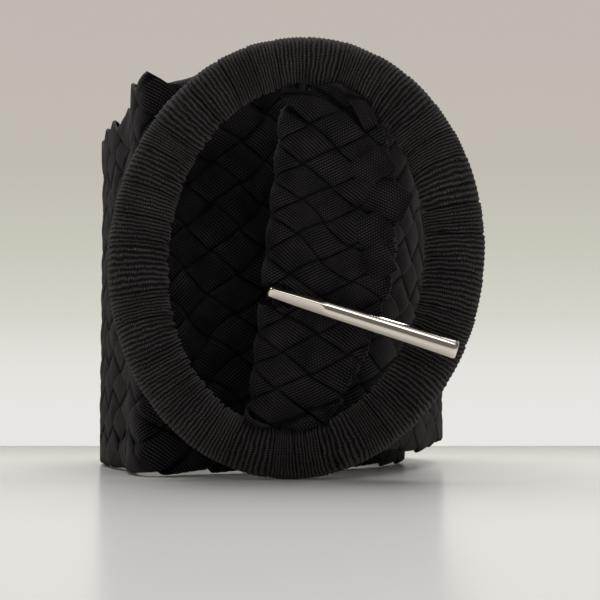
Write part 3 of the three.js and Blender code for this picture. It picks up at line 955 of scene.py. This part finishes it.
def cover_material():
    """Knitted black elastic with painted shade and highlight, darkest in its folds, and pale lint on its
    outer side.
    """
    material, tree, shader = new_material("wound_black_elastic")
    winding_map = read_uv(tree, "winding")
    pull = add_noise(tree, 420.0, 2.0)["Color"]
    pulls = add_node(tree, "ShaderNodeSeparateColor", {"Color": pull}).outputs
    rib_place = add_math(tree, "MULTIPLY_ADD", pulls["Red"], 0.11, winding_map["X"])
    row_place = add_math(tree, "MULTIPLY_ADD", pulls["Green"], 0.05, winding_map["Y"])
    knit = knit_height(tree, WINDING_RIBS, COVER_KNIT_ROWS, rib_place, row_place)
    # Painted shade and highlight: the knit's hollows are coloured nearly black and its rib tops pale.
    colour = add_ramp(tree, knit, [
        (0.0, (0.0012, 0.0010, 0.0011)), (0.4, (0.0105, 0.0090, 0.0095)),
        (0.8, (0.046, 0.0405, 0.0415)), (1.0, (0.120, 0.109, 0.109)),
    ])
    # Painted shade: the colour darkens in the folds between windings.
    off_middle = off_half(tree, add_math(tree, "FRACT", winding_map["X"]))
    fold_shade_mask = add_range(tree, off_middle, 0.44, 0.495, 0.0, 0.8)
    folded = mix_colours(tree, fold_shade_mask, colour, (0.0015, 0.0012, 0.0013))
    outer = add_math(tree, "COSINE", add_math(tree, "MULTIPLY", winding_map["Y"], 2 * math.pi))
    lint_level = add_math(tree, "MULTIPLY_ADD", outer, 0.09, add_noise(tree, 2400.0, 1.0)["Fac"])
    linted = mix_colours(tree, add_range(tree, lint_level, 0.70, 0.80), folded, LINT)
    tree.links.new(add_variation(tree, linted, 120.0, 0.75, 1.25), shader.inputs["Base Color"])
    add_bump(tree, shader, knit, 0.8, 0.4 * MM)
    matt_elastic(shader, (0.85, 0.8, 0.78), 0.16)
    return material


ring_cover.data.materials.append(cover_material())
print("the cover's knit has", COVER_KNIT_ROWS, "rows round the ring's section")

# %% [markdown]
# The prong is a polished nickel bar. Its section is an oblong with a wide bevel on one long edge, because
# the photograph shows a bright face and a darker sloping one. The section is drawn once and extruded along
# the prong's slight bow. The eye round the bar is a small section of the same form, spun once round.

# %% Prong
PRONG_REACH = 41.6 * MM
PRONG_HEEL = 2.4 * MM
PRONG_THICKNESS = 2.7 * MM
PRONG_WIDTH_AT_TIP = 4.3 * MM
PRONG_WIDTH_AT_HEEL = 2.7 * MM
PRONG_BEVEL = 1.0 * MM
PRONG_BOW = 0.35 * MM
PRONG_ROUNDING = 1.0 * MM
PRONG_END_SIZE = 0.74
PRONG_DROOP = math.radians(11.4)
ROUNDING_STEPS = 5
SHANK_STATIONS = 25
EYE_RADIUS = 2.85 * MM
EYE_WALL = 1.1 * MM
EYE_WIDTH = 2.0 * MM
EYE_BEVEL = 0.3 * MM
NECK_LENGTH = 2.6 * MM
NECK_WIDTH = 2.2 * MM
NECK_MIDDLE = -(FOLD_OUTER_RADIUS - 0.35 * MM)
# Corners of the section: up or down and how many bevels short, then back or front and how many short.
SECTION_CORNERS = [
    (-1, 0.3, -1, 0.5), (1, 1.4, -1, 0), (1, 0, -1, 1), (1, 0, 1, 0.5),
    (1, 0.5, 1, 0), (-1, 0.5, 1, 0), (-1, 0, 1, 0.5), (-1, 0, -1, 0.9),
]


def oblong_section(bm, width, thickness, bevel):
    """A closed loop of edges in the plane across the prong: an oblong with its corners bevelled."""
    verts = []
    for up, up_short, back, back_short in SECTION_CORNERS:
        behind = back * (thickness / 2 - back_short * bevel)
        verts.append(bm.verts.new((0, behind, up * (width / 2 - up_short * bevel))))
    return [bm.edges.new(pair) for pair in zip(verts, verts[1:] + verts[:1])]


def shank_middle(share):
    """Behind the bar's axis, the middle of the shank's thickness at a share of its reach."""
    heel = -(FOLD_OUTER_RADIUS + SEAT_GAP) - PRONG_THICKNESS / 2
    tip = -(RING_DEPTH / 2 + SEAT_GAP) - PRONG_THICKNESS / 2
    return heel + (tip - heel) * share - 4 * PRONG_BOW * share * (1 - share)


def shank_stations():
    """Where along the prong its sections stand, closer at its rounded ends."""
    insets = [PRONG_ROUNDING * (1 - math.cos(math.pi / 2 * k / ROUNDING_STEPS))
              for k in range(ROUNDING_STEPS)]
    middle = np.linspace(-PRONG_HEEL + PRONG_ROUNDING, PRONG_REACH - PRONG_ROUNDING, SHANK_STATIONS)
    return ([-PRONG_HEEL + inset for inset in insets] + list(middle)
            + [PRONG_REACH - inset for inset in reversed(insets)])


def prong_mesh():
    """The prong's shank, lying level, with the bar's axis at the origin."""
    bm = bmesh.new()
    loop = oblong_section(bm, PRONG_WIDTH_AT_TIP, PRONG_THICKNESS, PRONG_BEVEL)
    sections = []
    for k, reach in enumerate(shank_stations()):
        if k:
            made = bmesh.ops.extrude_edge_only(bm, edges=loop)
            loop = [part for part in made["geom"] if isinstance(part, bmesh.types.BMEdge)]
        sections.append((list({vert for edge in loop for vert in edge.verts}), reach))
    for verts, reach in sections:
        share = max(reach, 0) / PRONG_REACH
        end = min((reach + PRONG_HEEL) / PRONG_ROUNDING, (PRONG_REACH - reach) / PRONG_ROUNDING, 1)
        size = PRONG_END_SIZE + (1 - PRONG_END_SIZE) * math.sqrt(max(1 - (1 - end) ** 2, 0))
        width = PRONG_WIDTH_AT_HEEL + (PRONG_WIDTH_AT_TIP - PRONG_WIDTH_AT_HEEL) * math.sqrt(share)
        for vert in verts:
            vert.co.x = reach
            vert.co.y = shank_middle(share) + vert.co.y * size
            vert.co.z *= size * width / PRONG_WIDTH_AT_TIP
    bmesh.ops.contextual_create(bm, geom=loop)
    bmesh.ops.contextual_create(bm, geom=[edge for edge in bm.edges if edge.is_boundary])
    bmesh.ops.recalc_face_normals(bm, faces=bm.faces)
    return bm


def add_eye_and_neck(bm):
    """Adds the eye round the bar and the neck between it and the shank."""
    eye_edges = oblong_section(bm, EYE_WIDTH, EYE_WALL, EYE_BEVEL)
    eye_verts = list({vert for edge in eye_edges for vert in edge.verts})
    bmesh.ops.translate(bm, verts=eye_verts, vec=(0, -EYE_RADIUS, 0))
    bmesh.ops.spin(bm, geom=eye_verts + eye_edges, cent=(0, 0, 0), axis=(0, 0, 1), angle=2 * math.pi,
                   steps=32, use_merge=True)
    for vert in bmesh.ops.create_cube(bm, size=1)["verts"]:
        vert.co.x *= NECK_WIDTH
        vert.co.y = NECK_MIDDLE + vert.co.y * NECK_LENGTH
        vert.co.z *= EYE_WIDTH * 0.9


bm = prong_mesh()
add_eye_and_neck(bm)
for vert in bm.verts:
    right, behind, above = vert.co
    turned_right = right * math.cos(PRONG_DROOP) + above * math.sin(PRONG_DROOP)
    turned_above = -right * math.sin(PRONG_DROOP) + above * math.cos(PRONG_DROOP)
    vert.co = from_ring_plane(turned_right - BAR_LEFT_OF_MIDDLE, behind, turned_above - PRONG_BELOW_MIDDLE)
bmesh.ops.recalc_face_normals(bm, faces=bm.faces)
prong = object_from_bmesh("polished_prong", bm)
soften = prong.modifiers.new("soft_edges", "BEVEL")
soften.width = 0.22 * MM
soften.segments = 3
soften.limit_method = "ANGLE"
soften.angle_limit = math.radians(55)
soften.harden_normals = True
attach(prong, "prong")
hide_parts("prong")
print("the prong has", len(prong.data.polygons), "faces before its edges are rounded")

# %% [markdown]
# The nickel is warm and nearly a mirror. Its roughness varies a little in fine patches, as polishing and
# wear leave it, because an even mirror looks drawn. The hidden bar is steel, coloured nearly black as
# painted shade and dull, so that it doesn't flash through the gaps of the plait.

# %% Nickel and steel
def metal_material(name, colour, roughness):
    """A bare metal whose roughness varies in fine patches round a mean value."""
    material, tree, shader = new_material(name)
    wear = add_noise(tree, 900.0, 4.0)["Fac"]
    rough = add_range(tree, wear, 0.0, 1.0, roughness * 0.7, roughness * 1.5)
    tree.links.new(rough, shader.inputs["Roughness"])
    shader.inputs["Base Color"].default_value = (*colour, 1)
    shader.inputs["Metallic"].default_value = 1
    return material


prong.data.materials.append(metal_material("polished_nickel", (0.80, 0.74, 0.66), 0.12))
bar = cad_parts["centre_bar"]
bar.data.materials.clear()
# The bar's near-black colour is painted shade, so that it reads dark in the plait's gaps.
bar.data.materials.append(metal_material("bar_steel_painted_dark_as_shade", (0.03, 0.03, 0.03), 0.5))
print("the metals are", [piece.data.materials[0].name for piece in (prong, bar)])
